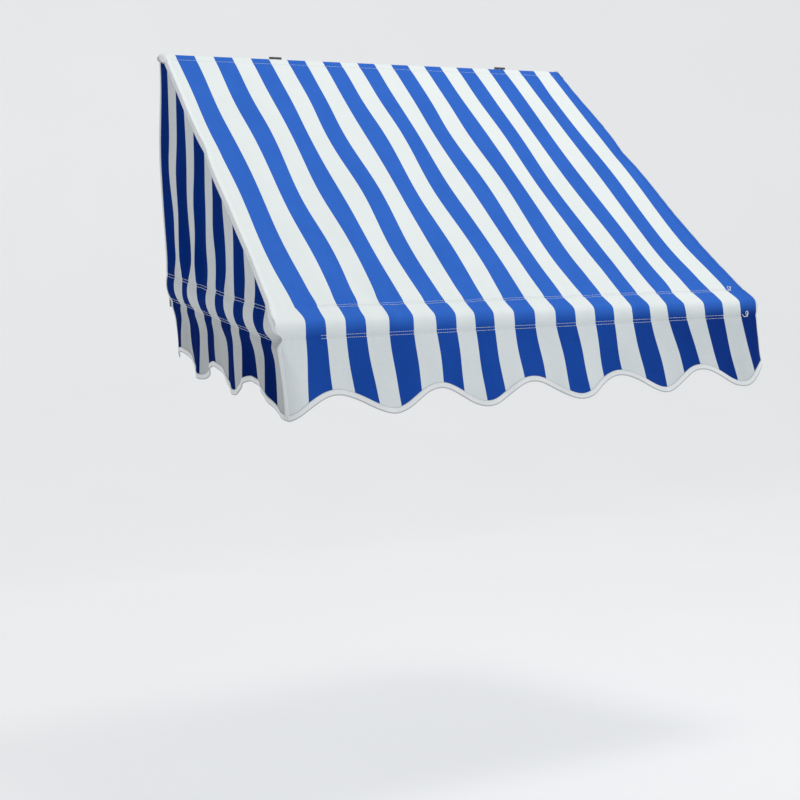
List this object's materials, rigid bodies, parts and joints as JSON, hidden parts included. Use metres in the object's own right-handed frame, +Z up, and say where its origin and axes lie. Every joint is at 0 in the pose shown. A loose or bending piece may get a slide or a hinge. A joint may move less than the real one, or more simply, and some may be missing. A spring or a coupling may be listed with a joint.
{
  "type": "fabric awning",
  "caption": "Striped fabric window awning: sloped roof cloth, scalloped valance and two side wings on a fixed tube frame held by wall brackets.",
  "frame": {"origin": "on the wall plane, at mid width, level with the head bar's axis", "axes": "+Z up, +X to the right as seen facing the wall, the awning projects towards -Y"},
  "size_m": [1.2216, 0.7012, 0.9462],
  "materials": {
    "cloth": "woven, matte",
    "tape": "woven tape, matte",
    "alu": "satin",
    "cast": "cast",
    "steel": "zinc plated",
    "plastic": "moulded"
  },
  "bodies": {
    "root": {"canopy_panel": "cloth", "wing_left": "cloth", "wing_right": "cloth", "pocket_front": "cloth", "pocket_left": "cloth", "pocket_right": "cloth", "hem_tape_front": "tape", "seam_tape_left": "tape", "seam_tape_right": "tape", "hem_tape_left": "tape", "hem_tape_right": "tape", "rear_tape_left": "tape", "rear_tape_right": "tape", "head_bar": "alu", "front_bar": "alu", "arm_left": "alu", "arm_right": "alu", "arm_socket_left": "cast", "arm_socket_right": "cast", "elbow_left": "cast", "elbow_right": "cast", "elbow_screw_bar_left": "steel", "elbow_screw_arm_left": "steel", "socket_screw_left": "steel", "head_bracket_left": "steel", "head_jaw_left": "steel", "head_bolt_left": "steel", "head_nut_left": "steel", "elbow_screw_bar_right": "steel", "elbow_screw_arm_right": "steel", "socket_screw_right": "steel", "head_bracket_right": "steel", "head_jaw_right": "steel", "head_bolt_right": "steel", "head_nut_right": "steel", "head_cap_left": "plastic", "head_cap_right": "plastic"}
  },
  "joints": []
}
